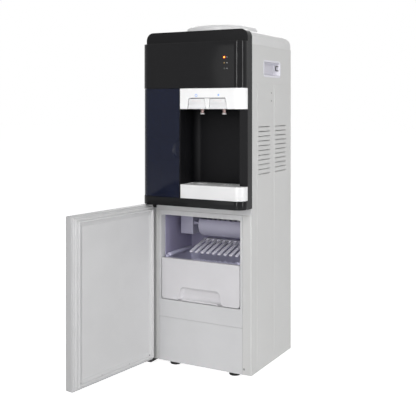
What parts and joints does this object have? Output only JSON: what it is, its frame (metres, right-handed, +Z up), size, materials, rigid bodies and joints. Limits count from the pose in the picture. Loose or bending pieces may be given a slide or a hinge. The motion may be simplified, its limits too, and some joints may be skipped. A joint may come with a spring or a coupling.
{
  "type": "water cooler with ice maker",
  "caption": "Free-standing water cooler: bottle seat on top, tap alcove with push keys, tinted cup cabinet, and an ice maker with a pull-out bin behind a hinged lower door.",
  "frame": {"origin": "on the floor, at the centre of the four feet", "axes": "+X is the right side seen from the front, +Y points to the back, +Z is up; the lower door stands open at the left front"},
  "size_m": [0.3784, 0.6421, 0.9983],
  "materials": {
    "casing_steel": "light grey painted sheet, fine satin",
    "bare_steel": "plain galvanised or stainless sheet",
    "white_plastic": "white moulded plastic, satin gloss",
    "pale_plastic": "pale grey moulded plastic",
    "lining_plastic": "white vacuum-formed lining",
    "dark_plastic": "black moulded plastic, gloss",
    "smoke_plastic": "dark blue tinted clear plastic",
    "rubber_black": "black rubber",
    "rubber_grey": "pale grey flexible seal",
    "foam": "rigid insulation foam",
    "copper": "copper tube",
    "aluminium_fins": "thin aluminium fins",
    "chrome_trim": "bright plated metal",
    "black_steel": "black painted steel",
    "hose_silicone": "translucent silicone hose",
    "lamp_lens": "tinted lamp lens",
    "board_green": "printed circuit board"
  },
  "bodies": {
    "cabinet": {"base_pan": "bare_steel", "feet": "rubber_black", "side_panel_left": "casing_steel", "side_panel_right": "casing_steel", "handle_cups": "white_plastic", "rear_panel": "casing_steel", "rear_grille": "casing_steel", "top_cover": "white_plastic", "bottle_collar": "pale_plastic", "front_plate": "dark_plastic", "upper_fascia": "dark_plastic", "lower_strip": "dark_plastic", "indicator_lamps": "lamp_lens", "tap_panel": "white_plastic", "tap_valves": "dark_plastic", "tap_nozzles": "chrome_trim", "pivot_pins": "chrome_trim", "alcove_liner": "dark_plastic", "cup_cabinet": "dark_plastic", "cup_shelf": "dark_plastic", "cross_rail": "pale_plastic", "kick_panel": "pale_plastic", "front_frame": "white_plastic", "ice_liner": "lining_plastic", "foam_insulation": "foam", "divider_deck": "bare_steel", "evaporator": "chrome_trim", "ice_gearbox": "lining_plastic", "ice_slide": "lining_plastic", "door_hinges": "black_steel", "cold_tank": "bare_steel", "hot_tank": "bare_steel", "water_hoses": "hose_silicone", "drain_spigot": "white_plastic", "condenser": "aluminium_fins", "fan_housing": "dark_plastic", "compressor": "black_steel", "compressor_grommets": "rubber_black", "refrigerant_lines": "copper", "water_pump": "dark_plastic", "circuit_boards": "board_green", "rear_electrics": "dark_plastic", "casing_screws": "bare_steel"},
    "lower_door": {"door_shell": "pale_plastic", "door_liner": "pale_plastic", "door_core": "foam", "door_gasket": "rubber_grey"},
    "cup_door": {"cup_door": "smoke_plastic"},
    "ice_bin": {"ice_bin": "white_plastic", "ice_bin_front": "white_plastic"},
    "hot_key": {"hot_key": "white_plastic"},
    "cold_key": {"cold_key": "white_plastic"},
    "drip_tray": {"drip_tray": "white_plastic"},
    "drip_grille": {"drip_grille": "white_plastic"},
    "bottle_seat": {"bottle_seat": "white_plastic"},
    "water_tray": {"water_tray": "lining_plastic"},
    "fan": {"fan_blade": "dark_plastic"},
    "rocker_switch_1": {"rocker_switch_1": "dark_plastic"},
    "rocker_switch_2": {"rocker_switch_2": "dark_plastic"},
    "drain_cap": {"drain_cap": "white_plastic"}
  },
  "joints": [
    {"name": "door_hinge", "type": "hinge", "parent": "cabinet", "child": "lower_door", "pos_m": [-0.156, -0.1648, 0.245], "axis": [0, 0, -1], "range_deg": [-97, 23]},
    {"name": "cup_door_hinge", "type": "hinge", "parent": "cabinet", "child": "cup_door", "pos_m": [-0.1625, -0.1697, 0.656], "axis": [0, 0, -1], "range_deg": [0, 100]},
    {"name": "ice_bin_slide", "type": "slide", "parent": "cabinet", "child": "ice_bin", "axis": [0, -1, 0], "range_m": [0, 0.15]},
    {"name": "hot_key_press", "type": "hinge", "parent": "cabinet", "child": "hot_key", "pos_m": [0.019, -0.19, 0.7775], "axis": [1, 0, 0], "range_deg": [0, 7], "stiffness_Nm_per_rad": 0.4, "springref_deg": -5.73},
    {"name": "cold_key_press", "type": "hinge", "parent": "cabinet", "child": "cold_key", "pos_m": [0.089, -0.19, 0.7775], "axis": [1, 0, 0], "range_deg": [0, 7], "stiffness_Nm_per_rad": 0.4, "springref_deg": -5.73},
    {"name": "drip_tray_slide", "type": "slide", "parent": "cabinet", "child": "drip_tray", "axis": [0, -1, 0], "range_m": [0, 0.1]},
    {"name": "drip_grille_lift", "type": "slide", "parent": "drip_tray", "child": "drip_grille", "axis": [0, 0, 1], "range_m": [0, 0.06]},
    {"name": "bottle_seat_lift", "type": "slide", "parent": "cabinet", "child": "bottle_seat", "axis": [0, 0, 1], "range_m": [0, 0.08]},
    {"name": "water_tray_tilt", "type": "hinge", "parent": "cabinet", "child": "water_tray", "pos_m": [0, -0.043, 0.409], "axis": [1, 0, 0], "range_deg": [0, 60]},
    {"name": "fan_spin", "type": "hinge", "parent": "cabinet", "child": "fan", "pos_m": [0.097, 0.001, 0.632], "axis": [1, 0, 0], "continuous": true},
    {"name": "drain_cap_pull", "type": "slide", "parent": "cabinet", "child": "drain_cap", "axis": [0, 1, 0], "range_m": [0, 0.03]},
    {"name": "rocker_switch_1_tip", "type": "hinge", "parent": "cabinet", "child": "rocker_switch_1", "pos_m": [0.08, 0.135, 0.771], "axis": [-1, 0, 0], "range_deg": [0, 12]},
    {"name": "rocker_switch_2_tip", "type": "hinge", "parent": "cabinet", "child": "rocker_switch_2", "pos_m": [0.11, 0.135, 0.771], "axis": [-1, 0, 0], "range_deg": [0, 12]}
  ]
}
